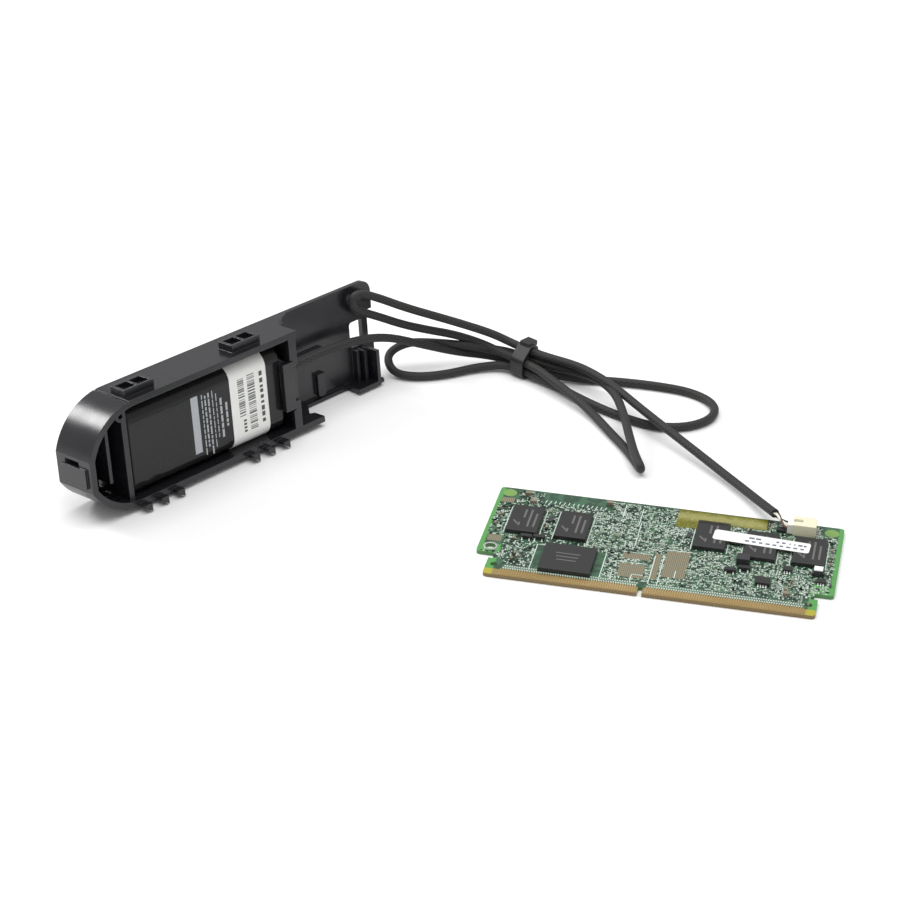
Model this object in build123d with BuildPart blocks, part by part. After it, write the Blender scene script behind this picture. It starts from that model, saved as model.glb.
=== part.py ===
from build123d import *
import math
import os

os.makedirs("parts", exist_ok=True)

# Cache memory module with its battery pack and lead, as the kit lies on a table.
# X runs along the battery holder, which stands on its long edge at the back (+Y).
# The origin is on the table, at the middle of holder and board together.

# Where the two halves of the kit lie
holder_corner = (-67.51, 82.08)
board_corner = (-13.91, -15.12)
board_turn = -59.22

# Battery holder: lengths along it, heights up it, depths out from its back plate
holder_length = 113.4
holder_height = 29.3
holder_depth = 13.6
holder_wall = 1.7
plate_thickness = 1.5

# Rounded end
end_radius = 17.6
end_foot = 16.0
end_flat = 0.9
finger_pad_bottom = 9.8
finger_pad_height = 5.2
finger_pad_depth = 9.5
finger_pad_start = 2.5
finger_pad_proud = 0.6
finger_slot_height = 1.4
finger_slot_width = 5.5
end_rib = 8.5
end_rib_width = 1.0
end_rib_depth = 11.0
end_rib_bottom = 8.0

# Bay that the pack lies in
bay_wall = 13.0
bay_wall_width = 1.6
bay_wall_depth = 12.5
bay_end_wall = 71.3
bay_end_width = 1.8
pin_boss_diameter = 3.2
pin_hole_diameter = 1.4
pin_hole_depth = 6.0
pin_boss_height = 25.6
roof_end = 73.6
lead_gate_bottom = 9.5
lead_gate_height = 11.0
lead_gate_depth = 10.5
lip_width = 0.8
lip_thickness = 1.5
arm_reach = 3.5
arm_bottom = 7.4
arm_height = 13.7
arm_notch_bottom = 9.6
arm_notch_height = 10.2
arm_notch_depth = 1.4
plate_slot = 12.0
plate_slot_width = 4.4
plate_slot_bottom = 3.0
plate_slot_height = 2.8

# Clips on the roof and hooks under the floor
clip_length = 9.8
clip_depth = 5.4
clip_start = 6.0
clip_height = 2.0
clip_wall = 0.8
clip_floor = 0.5
clip_spots = (15.9, 52.7)
hook_pitch = 5.5
hook_length = 2.2
hook_drop = 1.46
hook_depth = 4.0
hook_back_drop = 0.9
hook_tips = (17.2, 54.8)
hook_count = 3
groove_spot = 15.2
groove_width = 0.4
groove_depth = 0.45

# Plate beyond the bay
gusset_end = 81.3
gusset_knee = 77.8
gusset_knee_depth = 3.6
gusset_depth = 5.7
plate_corner = 3.5
plate_foot_corner = 1.0
grip_notch = 2.0
grip_notch_bottom = 10.5
grip_notch_height = 10.0
window_start = 104.3
window_length = 5.0
window_bottom = 11.0
window_height = 7.6
floor_reach = 84.9
floor_step = 3.0
floor_waist = 80.0
floor_waist_depth = 9.0
floor_tip = 81.3
rib_height = 15.0
rib_end = 92.7
rib_proud = 1.0
rib_width = 0.8
bar_start = 89.8
bar_width = 2.9
bar_bottom = 1.4
bar_top = 8.2
bar_proud = 1.2
rim_end = 100.7
rim_depth = 2.9
rim_height = 0.9
foot_end = 109.3
foot_depth = 7.7
foot_height = 1.2
end_wall_width = 1.1
end_wall_height = 10.5
stay_width = 1.0
stay_near = 104.6
stay_near_depth = 3.5
stay_far = 106.2
stay_far_depth = 5.0
lug_diameter = 1.6
lug_length = 1.2

# Battery pack, its label and the lead's boot
pack_length = 54.8
pack_thickness = 10.0
pack_headroom = 1.6
pack_height = holder_height - 2 * holder_wall - pack_headroom
pack_edge_radius = 4.1
pack_end_radius = 1.3
pack_gap = 0.1
label_start = 35.6
label_length = 13.0
label_thickness = 0.12
label_wrap = 8.6
boot_diameter = 3.6
boot_length = 3.0
boot_depth = 6.0
boot_height = 16.0

# Lead, with flat sides so that its mesh stays light
lead_diameter = 2.4
lead_sides = 8
lead_straight = 10.5
tie_width = 4.6
tie_thickness = 0.77
tie_gap = 0.15
tie_reach = 5.2
tie_spread = 2.7
tie_head_width = 3.4
tie_head_length = 3.6
tie_head_proud = 0.7
wire_diameter = 0.5
wire_sides = 6
wire_spacing = 0.58

# Circuit board: lengths along its keyed edge, heights up from that edge
edge_width = 82.0
board_height = 43.8
board_thickness = 1.0
ear_width = 3.7
ear_bottom = 10.2
board_corner_radius = 1.0
latch_height = 2.6
latch_reach = 1.9
key_spot = 39.1
key_width = 1.2
key_depth = 3.0
guide_hole = 1.8
guide_hole_in = 2.0
guide_hole_up = 4.8
ring_spot = (-0.6, 13.3)
ring_hole = 2.65
ring_diameter = 3.7
foil = 0.05

# Edge contacts
contact_pitch = 0.6
contact_width = 0.42
contact_length = 2.8
contact_up = 0.35
contact_key_gap = 1.35
contacts_left = 57
contacts_right = 65

# Chips on the board
memory_width = 8.1
memory_height = 13.0
memory_thickness = 1.15
memory_spots = ((5.7, 27.2), (18.2, 27.1), (53.0, 30.8), (65.8, 28.9), (78.0, 28.9))
chip_chamfer = 0.15
bridge_width = 13.1
bridge_height = 12.5
bridge_thickness = 1.2
bridge_spot = (19.6, 10.4)
label_width = 24.5
label_height = 4.9
label_corner = 0.8
label_film = 0.1
label_spot = (65.75, 30.3)
label_turn = -3.5

# Tape over the board's top edge
tape_start = 43.3
tape_end = 67.6
tape_film = 0.1
tape_bottom = 37.9
tape_edge = 0.3
tape_flap_bottom = 34.4
tape_lap = 1.2
tape_slope = 1.1
tape_gap = 0.1

# Connector on the board and the plug in it
header_spot = (72.9, 37.3)
header_length = 5.8
header_width = 4.8
header_height = 3.05
header_wall = 0.55
header_bore = 4.6
plug_gap = 0.08
plug_flange = 1.5
plug_flange_rim = 0.25
pin_pitch = 1.0
pin_size = 0.3
pin_tail = 1.2

# Other parts on the board
inductor_size = (3.3, 2.9, 1.9)
inductor_spot = (62.2, 20.7)
inductor_corner = 0.4
switch_size = (2.9, 1.3, 1.0)
switch_spots = ((59.5, 15.6), (62.9, 17.4), (7.4, 19.2), (10.6, 19.6))
switch_pitch = 1.9
driver_size = (3.6, 3.0, 1.1)
driver_spot = (68.0, 12.0)
gauge_size = (2.2, 1.9, 0.9)
gauge_spot = (73.4, 19.5)
buffer_size = (2.2, 1.7, 0.8)
buffer_spot = (82.0, 15.7)
lamp_size = (2.9, 2.7, 1.1)
lamp_spot = (81.0, 19.7)
lamp_lens = (2.2, 2.0, 0.7)
guard_size = (2.4, 2.0, 0.7)
guard_spot = (70.0, 38.9)
leg_pitch = 0.65
leg_width = 0.36
leg_thickness = 0.14
leg_rise = 0.5
leg_knee = 0.3
leg_reach = 0.7
capacitor_size = (0.6, 1.1, 0.5)
resistor_size = (0.6, 1.1, 0.35)
array_size = (1.0, 2.4, 0.45)
reservoir_size = (1.6, 1.25, 0.9)

# Frames of the two halves
lean = math.atan2(hook_drop, holder_depth)
rear = Plane(
    origin=(holder_corner[0], holder_corner[1], 0),
    x_dir=(1, 0, 0),
    z_dir=(0, -math.cos(lean), math.sin(lean)),
)
plan = Plane(
    origin=(holder_corner[0], holder_corner[1], 0),
    x_dir=(1, 0, 0),
    z_dir=(0, math.sin(lean), math.cos(lean)),
)
flat_end = Plane(
    origin=rear.from_local_coords((end_flat, 0, 0)),
    x_dir=rear.z_dir,
    z_dir=(-1, 0, 0),
)
board_under = Plane(
    origin=(board_corner[0], board_corner[1], foil),
    x_dir=(math.cos(math.radians(board_turn)), math.sin(math.radians(board_turn)), 0),
    z_dir=(0, 0, 1),
)
board_top = board_under.offset(board_thickness)


def panel(start, end, bottom, top, mode=Mode.ADD):
    """Rectangle between two lengths and two heights."""
    with Locations(((start + end) / 2, (bottom + top) / 2)):
        Rectangle(end - start, top - bottom, mode=mode)


def rounded_end(inset, right):
    """Side view of the holder's rounded end and bay, set in by a wall."""
    radius = end_radius - inset
    top = holder_height - inset
    left = end_flat + inset
    upper = math.degrees(math.acos((end_radius - left) / radius))
    lower = math.degrees(math.acos((end_foot - left) / radius))
    upper_rise = radius * math.sin(math.radians(upper))
    lower_rise = radius * math.sin(math.radians(lower))
    with BuildSketch() as outline:
        with BuildLine():
            CenterArc((end_radius, holder_height - end_radius), radius, 90, 90 - upper)
            Line(
                (left, holder_height - end_radius + upper_rise),
                (left, end_radius - lower_rise),
            )
            CenterArc((end_foot, end_radius), radius, 180 + lower, 90 - lower)
            Line((end_foot, inset), (right, inset))
            Line((right, inset), (right, top))
            Line((right, top), (end_radius, top))
        make_face()
    return outline.sketch


# Battery holder, one black moulding
with BuildPart() as battery_holder:
    # Back plate
    with BuildSketch(rear):
        add(rounded_end(0, roof_end))
        with BuildLine():
            Polyline(
                (roof_end - 1, 0),
                (holder_length, 0),
                (holder_length, holder_height),
                (roof_end - 1, holder_height),
                close=True,
            )
        make_face()
        right_corners = vertices().group_by(Axis.X)[-1].sort_by(Axis.Y)
        fillet(right_corners[-1], plate_corner)
        right_foot = vertices().group_by(Axis.X)[-1].sort_by(Axis.Y)[0]
        fillet(right_foot, plate_foot_corner)
        panel(
            holder_length - grip_notch,
            holder_length + 1,
            grip_notch_bottom,
            grip_notch_bottom + grip_notch_height,
            Mode.SUBTRACT,
        )
        window_middle = window_bottom + window_height / 2
        with Locations((window_start + window_length / 2, window_middle)):
            RectangleRounded(window_length, window_height, 1, mode=Mode.SUBTRACT)
        panel(
            plate_slot,
            plate_slot + plate_slot_width,
            plate_slot_bottom,
            plate_slot_bottom + plate_slot_height,
            Mode.SUBTRACT,
        )
    extrude(amount=plate_thickness)

    # Roof, rounded end and floor as one rim
    with BuildSketch(rear):
        add(rounded_end(0, roof_end))
        add(rounded_end(holder_wall, roof_end + 1), mode=Mode.SUBTRACT)
    extrude(amount=holder_depth)
    with BuildSketch(plan):
        with BuildLine():
            Polyline(
                (roof_end - 1, 0),
                (floor_reach, 0),
                (floor_reach, -floor_step),
                (floor_waist, -floor_waist_depth),
                (floor_tip, -floor_waist_depth - 0.7),
                (floor_tip, -holder_depth),
                (roof_end - 1, -holder_depth),
                close=True,
            )
        make_face()
    extrude(amount=holder_wall)

    # Gusset between the roof's end and the top of the plate
    with BuildSketch(plan.offset(holder_height)):
        with BuildLine():
            Polyline(
                (roof_end - 1, 0),
                (gusset_end, 0),
                (gusset_end, -plate_thickness),
                (gusset_knee, -gusset_knee_depth),
                (roof_end, -gusset_depth),
                (roof_end - 1, -gusset_depth),
                close=True,
            )
        make_face()
    extrude(amount=-holder_wall)

    # Walls at both ends of the bay and the rib in the rounded end
    roof_under = holder_height - holder_wall / 2
    with BuildSketch(rear):
        panel(bay_wall, bay_wall + bay_wall_width, holder_wall / 2, roof_under)
    extrude(amount=bay_wall_depth)
    rib_reach = end_radius - end_rib
    rib_top = holder_height - end_radius
    rib_top += math.sqrt((end_radius - holder_wall / 2) ** 2 - rib_reach**2)
    with BuildSketch(rear):
        panel(end_rib, end_rib + end_rib_width, end_rib_bottom, rib_top)
    extrude(amount=end_rib_depth)
    pin_boss_spot = bay_wall + bay_wall_width - pin_boss_diameter / 2
    with BuildSketch(rear):
        with Locations((pin_boss_spot, pin_boss_height)):
            Circle(pin_boss_diameter / 2)
    extrude(amount=bay_wall_depth)
    with BuildSketch(rear.offset(bay_wall_depth)):
        with Locations((pin_boss_spot, pin_boss_height)):
            Circle(pin_hole_diameter / 2)
    extrude(amount=-pin_hole_depth, mode=Mode.SUBTRACT)
    bay_end_face = bay_end_wall + bay_end_width
    with BuildSketch(rear):
        panel(bay_end_wall, bay_end_face, holder_wall / 2, roof_under)
    extrude(amount=holder_depth)
    gate_top = lead_gate_bottom + lead_gate_height
    with BuildSketch(rear.offset(plate_thickness)):
        panel(bay_end_wall - 1, bay_end_face + 1, lead_gate_bottom, gate_top)
    extrude(amount=lead_gate_depth - plate_thickness, mode=Mode.SUBTRACT)

    # Lips and the sprung arm that keep the pack in
    arm_top = arm_bottom + arm_height
    with BuildSketch(rear.offset(holder_depth)):
        panel(bay_end_wall - lip_width, bay_end_face, holder_wall / 2, arm_bottom - 0.4)
        panel(bay_end_wall - lip_width, bay_end_face, arm_top + 0.4, roof_under)
        panel(bay_end_wall - arm_reach, bay_end_face, arm_bottom, arm_top)
    extrude(amount=-lip_thickness)
    notch_top = arm_notch_bottom + arm_notch_height
    with BuildSketch(rear.offset(holder_depth)):
        panel(bay_end_wall, bay_end_face + 1, arm_notch_bottom, notch_top)
    extrude(amount=-arm_notch_depth / 2, mode=Mode.SUBTRACT)

    # Finger pad and slot on the flat end
    pad_top = finger_pad_bottom + finger_pad_height
    with BuildSketch(flat_end):
        panel(
            finger_pad_start,
            finger_pad_start + finger_pad_depth,
            finger_pad_bottom,
            pad_top,
        )
    extrude(amount=finger_pad_proud)
    with BuildSketch(flat_end):
        panel(
            finger_pad_start + 1,
            finger_pad_start + 1 + finger_slot_width,
            pad_top,
            pad_top + finger_slot_height,
        )
    extrude(amount=-2 * holder_wall, mode=Mode.SUBTRACT)

    # Clip pockets on the roof
    pocket_length = (clip_length - 3 * clip_wall) / 2
    pocket_depth = clip_depth - 2 * clip_wall
    for clip in clip_spots:
        clip_middle = (clip + clip_length / 2, -clip_start - clip_depth / 2)
        with BuildSketch(plan.offset(holder_height)):
            with Locations(clip_middle):
                Rectangle(clip_length, clip_depth)
        extrude(amount=clip_height)
        with BuildSketch(plan.offset(holder_height + clip_height)):
            with Locations(clip_middle):
                with GridLocations(pocket_length + clip_wall, 1, 2, 1):
                    Rectangle(pocket_length, pocket_depth)
        extrude(amount=clip_floor - clip_height, mode=Mode.SUBTRACT)

    # Groove across the roof where the rounded end begins
    with BuildSketch(plan.offset(holder_height)):
        with Locations((groove_spot, -holder_depth / 2)):
            Rectangle(groove_width, holder_depth + 1)
    extrude(amount=-groove_depth, mode=Mode.SUBTRACT)

    # Hooks under the front of the floor
    for first_tip in hook_tips:
        for number in range(hook_count):
            tip = first_tip + number * hook_pitch
            with BuildSketch(rear.offset(holder_depth)) as hook_front:
                with BuildLine():
                    Polyline(
                        (tip - hook_length, holder_wall / 2),
                        (tip - hook_length, 0),
                        (tip, -hook_drop),
                        (tip, holder_wall / 2),
                        close=True,
                    )
                make_face()
            with BuildSketch(rear.offset(holder_depth - hook_depth)) as hook_back:
                with BuildLine():
                    Polyline(
                        (tip - hook_length, holder_wall / 2),
                        (tip - hook_length, 0),
                        (tip, -hook_back_drop),
                        (tip, holder_wall / 2),
                        close=True,
                    )
                make_face()
            loft([hook_back.sketch, hook_front.sketch])

    # Ribs, bar and foot on the plate beyond the bay
    with BuildSketch(rear):
        panel(bay_end_face - 0.5, rib_end, rib_height, rib_height + rib_width)
    extrude(amount=plate_thickness + rib_proud)
    with BuildSketch(rear):
        panel(bar_start, bar_start + bar_width, bar_bottom, bar_top)
        bar_ends = vertices().group_by(Axis.Y)[0]
        fillet(bar_ends, bar_width * 0.4)
    extrude(amount=plate_thickness + bar_proud)
    with BuildSketch(rear):
        panel(floor_reach - 0.5, rim_end + 0.5, 0, rim_height)
    extrude(amount=rim_depth)
    with BuildSketch(rear):
        panel(rim_end, foot_end, 0, foot_height)
        panel(foot_end - end_wall_width, foot_end, 0, end_wall_height)
    extrude(amount=foot_depth)
    with BuildSketch(rear):
        panel(stay_near, stay_near + stay_width, foot_height / 2, end_wall_height)
    extrude(amount=stay_near_depth)
    with BuildSketch(rear):
        panel(stay_far, stay_far + stay_width, foot_height / 2, end_wall_height)
    extrude(amount=stay_far_depth)
    lug_plane = Plane(
        origin=rear.from_local_coords((foot_end, 0, foot_depth - lug_diameter / 2)),
        x_dir=rear.z_dir,
        z_dir=(1, 0, 0),
    )
    with BuildSketch(lug_plane):
        with Locations((0, -lug_diameter / 2)):
            Circle(lug_diameter / 2)
    extrude(amount=lug_length)
battery_holder.part.label = "battery_holder"
export_step(battery_holder.part, "parts/battery_holder.step")

# Battery pack: four cells sealed in shrink film
pack_start = bay_wall + bay_wall_width + pack_gap
pack_end_plane = Plane(
    origin=rear.from_local_coords((pack_start, 0, 0)),
    x_dir=rear.z_dir,
    z_dir=(-1, 0, 0),
)
pack_middle = (
    plate_thickness + pack_thickness / 2,
    holder_wall + pack_height / 2,
)
with BuildPart() as battery_pack:
    with BuildSketch(pack_end_plane):
        with Locations(pack_middle):
            RectangleRounded(pack_thickness, pack_height, pack_edge_radius)
    extrude(amount=-pack_length)
    chamfer(battery_pack.faces().filter_by(Axis.X).edges(), pack_end_radius)
battery_pack.part.label = "battery_pack"
export_step(battery_pack.part, "parts/battery_pack.step")

# Label wrapped over the front and both rounded edges of the pack
with BuildPart() as battery_label:
    with BuildSketch(pack_end_plane.offset(-label_start)):
        with Locations(pack_middle):
            RectangleRounded(
                pack_thickness + 2 * label_thickness,
                pack_height + 2 * label_thickness,
                pack_edge_radius + label_thickness,
            )
            RectangleRounded(
                pack_thickness,
                pack_height,
                pack_edge_radius,
                mode=Mode.SUBTRACT,
            )
        panel(0, label_wrap, 0, holder_height, Mode.SUBTRACT)
    extrude(amount=-label_length)
battery_label.part.label = "battery_label"
export_step(battery_label.part, "parts/battery_label.step")

# Boot where the lead leaves the pack
boot_plane = Plane(
    origin=rear.from_local_coords((pack_start + pack_length, boot_height, boot_depth)),
    x_dir=rear.z_dir,
    z_dir=(1, 0, 0),
)
with BuildPart() as pack_lead_boot:
    with BuildSketch(boot_plane):
        Circle(boot_diameter / 2)
    extrude(amount=boot_length)
    chamfer(pack_lead_boot.faces().sort_by(Axis.X)[-1].edges(), 0.4)
pack_lead_boot.part.label = "pack_lead_boot"
export_step(pack_lead_boot.part, "parts/pack_lead_boot.step")

# Lead: from the boot along the holder, then folded in four loops through the tie,
# and over to the board's connector. Heights are those of the sleeve's centre.
lead_exit = boot_plane.offset(boot_length).origin
tie_spot = (76.0, 51.2)
tie_left = tie_spot[0] - tie_spread / 2
tie_right = tie_spot[0] + tie_spread / 2
tie_near = tie_spot[1] - tie_reach
tie_far = tie_spot[1] + tie_reach
tie_low = tie_thickness + tie_gap + lead_diameter / 2
tie_middle = tie_low + tie_spread
tie_high = tie_middle + tie_spread
lead_points = [
    (lead_exit.X, lead_exit.Y, lead_exit.Z),
    (lead_exit.X + lead_straight, lead_exit.Y, lead_exit.Z),
    (29.5, 77.3, 16.9),
    (44.0, 76.2, 14.6),
    (56.4, 73.0, 8.8),
    (66.6, 68.6, 4.4),
    (74.4, 63.4, 2.5),
    (tie_right, tie_far, tie_low),
    (tie_right, tie_near, tie_low),
    (82.4, 37.4, 1.4),
    (90.0, 28.0, 1.3),
    (95.8, 18.5, 1.3),
    (99.9, 9.0, 1.3),
    (98.6, -0.6, 1.3),
    (91.4, -5.2, 1.3),
    (82.6, -3.6, 1.3),
    (76.0, 3.0, 1.3),
    (74.0, 13.5, 1.3),
    (74.0, 25.4, 1.3),
    (75.0, 37.4, 1.5),
    (tie_left, tie_near, tie_low),
    (tie_left, tie_far, tie_low),
    (67.5, 62.0, 1.5),
    (58.2, 65.2, 1.35),
    (50.8, 70.2, 1.35),
    (47.9, 76.4, 1.6),
    (50.4, 81.2, 5.0),
    (56.6, 78.6, 7.6),
    (62.6, 73.2, 7.2),
    (67.6, 66.9, 6.9),
    (73.0, 62.4, 5.6),
    (tie_right, tie_far, tie_middle),
    (tie_right, tie_near, tie_middle),
    (79.9, 37.6, 4.2),
    (82.4, 29.0, 4.3),
    (78.6, 20.4, 4.9),
    (72.4, 12.6, 4.2),
    (66.8, 4.4, 2.2),
    (61.6, -3.0, 1.35),
    (57.0, -9.2, 1.3),
    (53.2, -5.5, 1.3),
    (59.3, 2.2, 1.35),
    (64.6, 10.4, 1.35),
    (68.4, 20.6, 1.7),
    (71.2, 30.2, 3.0),
    (72.8, 38.4, 4.2),
    (tie_left, tie_near, tie_middle),
    (tie_left, tie_far, tie_middle),
    (72.4, 64.2, 6.8),
    (66.6, 69.8, 9.6),
    (59.4, 73.4, 12.2),
    (52.2, 76.8, 15.2),
    (44.4, 79.4, 19.6),
    (35.7, 81.6, 24.0),
    (38.1, 81.1, 28.4),
    (44.4, 79.2, 25.4),
    (52.6, 75.8, 20.6),
    (60.8, 71.6, 16.6),
    (68.0, 66.2, 13.2),
    (74.2, 61.2, 10.0),
    (tie_right, tie_far, tie_high),
    (tie_right, tie_near, tie_high),
    (81.8, 39.0, 6.2),
    (86.4, 32.0, 4.2),
    (85.2, 22.6, 3.7),
    (81.0, 13.4, 4.0),
    (77.2, 4.0, 4.4),
    (74.2, -6.4, 3.6),
    (71.0, -17.0, 2.0),
    (67.4, -27.6, 1.35),
    (63.8, -37.4, 1.7),
    (60.8, -44.8, 3.3),
    (57.5, -51.4, 3.7),
]
route = [Vector(*point) for point in lead_points]
lead_radii = []
for before, corner, after in zip(route, route[1:], route[2:]):
    arriving = corner - before
    leaving = after - corner
    half_turn = math.radians(arriving.get_angle(leaving)) / 2
    shorter = min(arriving.length, leaving.length)
    lead_radii.append(0.45 * shorter / math.tan(half_turn))
print("lead radii", [round(radius, 1) for radius in lead_radii])
lead_section = math.pi * lead_diameter**2 / 4
side_angle = 2 * math.pi / lead_sides
lead_corner = math.sqrt(2 * lead_section / (lead_sides * math.sin(side_angle)))
with BuildPart() as lead_sleeve:
    with BuildLine() as lead_path:
        FilletPolyline(*lead_points, radius=lead_radii)
    with BuildSketch(Plane(origin=route[0], z_dir=route[1] - route[0])):
        RegularPolygon(lead_corner, lead_sides)
    sweep(path=lead_path.wires()[0])
lead_length = lead_path.wires()[0].length
print("lead length", round(lead_length, 1))
print("lead volume ratio", round(lead_sleeve.part.volume / (lead_section * lead_length), 4))
lead_sleeve.part.label = "lead_sleeve"
export_step(lead_sleeve.part, "parts/lead_sleeve.step")

# Tie round the five strands of the hank
tie_plane = Plane(
    origin=(0, tie_spot[1] + tie_width / 2, 0),
    x_dir=(1, 0, 0),
    z_dir=(0, -1, 0),
)
tie_inside = lead_diameter / 2 + tie_gap
with BuildPart() as lead_tie:
    with BuildSketch(tie_plane):
        with BuildLine():
            Polyline(
                (tie_left, tie_low),
                (tie_right, tie_low),
                (tie_right, tie_high),
                (tie_left, tie_middle),
                close=True,
            )
        make_face()
        offset(amount=tie_inside + tie_thickness, kind=Kind.ARC)
        with BuildLine():
            Polyline(
                (tie_left, tie_low),
                (tie_right, tie_low),
                (tie_right, tie_high),
                (tie_left, tie_middle),
                close=True,
            )
            offset(amount=tie_inside, kind=Kind.ARC, mode=Mode.REPLACE)
        make_face(mode=Mode.SUBTRACT)
    extrude(amount=tie_width)

    # Head that the strap is pulled through, on the upper right strand
    strap_top = tie_high + tie_inside + tie_thickness
    with BuildSketch(tie_plane.offset((tie_width - tie_head_width) / 2)):
        panel(
            tie_right - 1.4,
            tie_right - 1.4 + tie_head_length,
            strap_top - tie_thickness + 0.1,
            strap_top + tie_head_proud,
        )
    extrude(amount=tie_head_width)
lead_tie.part.label = "lead_tie"
export_step(lead_tie.part, "parts/lead_tie.step")

# Circuit board with its keyed edge
with BuildPart() as circuit_board:
    with BuildSketch(board_under):
        Rectangle(edge_width, board_height, align=(Align.MIN, Align.MIN))
        foot_corners = vertices().group_by(Axis.Y)[0]
        fillet(foot_corners, board_corner_radius)
        with Locations((-ear_width, ear_bottom)):
            Rectangle(
                edge_width + 2 * ear_width,
                board_height - ear_bottom,
                align=(Align.MIN, Align.MIN),
            )
        ear_corners = vertices().group_by(Axis.X)[0] + vertices().group_by(Axis.X)[-1]
        fillet(ear_corners, board_corner_radius)
        latch_middle = ear_bottom - latch_height / 2
        with Locations((0, latch_middle), (edge_width, latch_middle)):
            SlotOverall(2 * latch_reach, latch_height, mode=Mode.SUBTRACT)
        with Locations((key_spot, 0)):
            SlotOverall(2 * key_depth, key_width, rotation=90, mode=Mode.SUBTRACT)
        guide_far = edge_width - guide_hole_in
        with Locations((guide_hole_in, guide_hole_up), (guide_far, guide_hole_up)):
            Circle(guide_hole / 2, mode=Mode.SUBTRACT)
        with Locations(ring_spot):
            Circle(ring_hole / 2, mode=Mode.SUBTRACT)
    extrude(amount=board_thickness)
circuit_board.part.label = "circuit_board"
export_step(circuit_board.part, "parts/circuit_board.step")

# Gold contacts on both faces of the keyed edge
left_span = (contacts_left - 1) * contact_pitch
right_span = (contacts_right - 1) * contact_pitch
contact_middle = contact_up + contact_length / 2
left_middle = key_spot - contact_key_gap - left_span / 2
right_middle = key_spot + contact_key_gap + right_span / 2
with BuildPart() as edge_contacts:
    for face, thickness in ((board_top, foil), (board_under, -foil)):
        with BuildSketch(face):
            with Locations((left_middle, contact_middle)):
                with GridLocations(contact_pitch, 1, contacts_left, 1):
                    Rectangle(contact_width, contact_length)
            with Locations((right_middle, contact_middle)):
                with GridLocations(contact_pitch, 1, contacts_right, 1):
                    Rectangle(contact_width, contact_length)
        extrude(amount=thickness)
edge_contacts.part.label = "edge_contacts"
export_step(edge_contacts.part, "parts/edge_contacts.step")

# Five memory chips
for number, spot in enumerate(memory_spots, 1):
    with BuildPart() as cache_chip:
        with BuildSketch(board_top):
            with Locations(spot):
                Rectangle(memory_width, memory_height)
        extrude(amount=memory_thickness)
        chamfer(cache_chip.faces().sort_by(Axis.Z)[-1].edges(), chip_chamfer)
    cache_chip.part.label = f"cache_chip_{number}"
    export_step(cache_chip.part, f"parts/cache_chip_{number}.step")

# Large control chip
with BuildPart() as bridge_chip:
    with BuildSketch(board_top):
        with Locations(bridge_spot):
            Rectangle(bridge_width, bridge_height)
    extrude(amount=bridge_thickness)
    chamfer(bridge_chip.faces().sort_by(Axis.Z)[-1].edges(), chip_chamfer)
bridge_chip.part.label = "bridge_chip"
export_step(bridge_chip.part, "parts/bridge_chip.step")

# Label that lies over three memory chips
with BuildPart() as chip_label:
    with BuildSketch(board_top.offset(memory_thickness)):
        with Locations(label_spot):
            RectangleRounded(label_width, label_height, label_corner, rotation=label_turn)
    extrude(amount=label_film)
chip_label.part.label = "chip_label"
export_step(chip_label.part, "parts/chip_label.step")

# Insulating tape along the top edge, lapped up over one memory chip
lapped = memory_spots[2]
lap_left = lapped[0] - memory_width / 2 - tape_gap
lap_right = lapped[0] + memory_width / 2 + tape_gap
lap_top = lapped[1] + memory_height / 2
tape_top = board_height - tape_edge
lap_plane = Plane(
    origin=board_top.from_local_coords((lap_left, 0, 0)),
    x_dir=board_top.y_dir,
    z_dir=board_top.x_dir,
)
with BuildPart() as insulating_tape:
    with BuildSketch(board_top):
        panel(tape_start, tape_end, lap_top + tape_slope + tape_gap, tape_top)
        panel(tape_start, lap_left, tape_flap_bottom, tape_top)
        panel(lap_right, tape_end, tape_bottom, tape_top)
    extrude(amount=tape_film)
    with BuildSketch(lap_plane):
        with BuildLine():
            Polyline(
                (tape_top, 0),
                (lap_top + tape_slope, 0),
                (lap_top + tape_gap, memory_thickness),
                (lap_top - tape_lap, memory_thickness),
                (lap_top - tape_lap, memory_thickness + tape_film),
                (lap_top + tape_gap, memory_thickness + tape_film),
                (lap_top + tape_slope + tape_gap, tape_film),
                (tape_top, tape_film),
                close=True,
            )
        make_face()
    extrude(amount=lap_right - lap_left)
insulating_tape.part.label = "insulating_tape"
export_step(insulating_tape.part, "parts/insulating_tape.step")

# Connector on the board, open towards the lead
header_middle = header_spot[1] + header_width / 2
header_mouth = Plane(
    origin=board_top.from_local_coords((header_spot[0], header_middle, 0)),
    x_dir=board_top.y_dir,
    z_dir=board_top.x_dir,
)
bore_width = header_width - 2 * header_wall
bore_height = header_height - 2 * header_wall
with BuildPart() as board_header:
    with BuildSketch(header_mouth):
        with Locations((0, header_height / 2)):
            Rectangle(header_width, header_height)
    extrude(amount=header_length)
    with BuildSketch(header_mouth):
        with Locations((0, header_height / 2)):
            Rectangle(bore_width, bore_height)
    extrude(amount=header_bore, mode=Mode.SUBTRACT)
    with BuildSketch(header_mouth):
        with Locations((0, header_height - header_wall / 2)):
            Rectangle(bore_width - 2, header_wall)
    extrude(amount=header_bore / 2, mode=Mode.SUBTRACT)
board_header.part.label = "board_header"
export_step(board_header.part, "parts/board_header.step")

# Pins of the connector, with their tails behind it
with BuildPart() as header_pins:
    with BuildSketch(header_mouth.offset(header_length)):
        with Locations((0, pin_size / 2)):
            with GridLocations(pin_pitch, 1, 4, 1):
                Rectangle(pin_size, pin_size)
    extrude(amount=pin_tail)
header_pins.part.label = "header_pins"
export_step(header_pins.part, "parts/header_pins.step")

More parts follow.
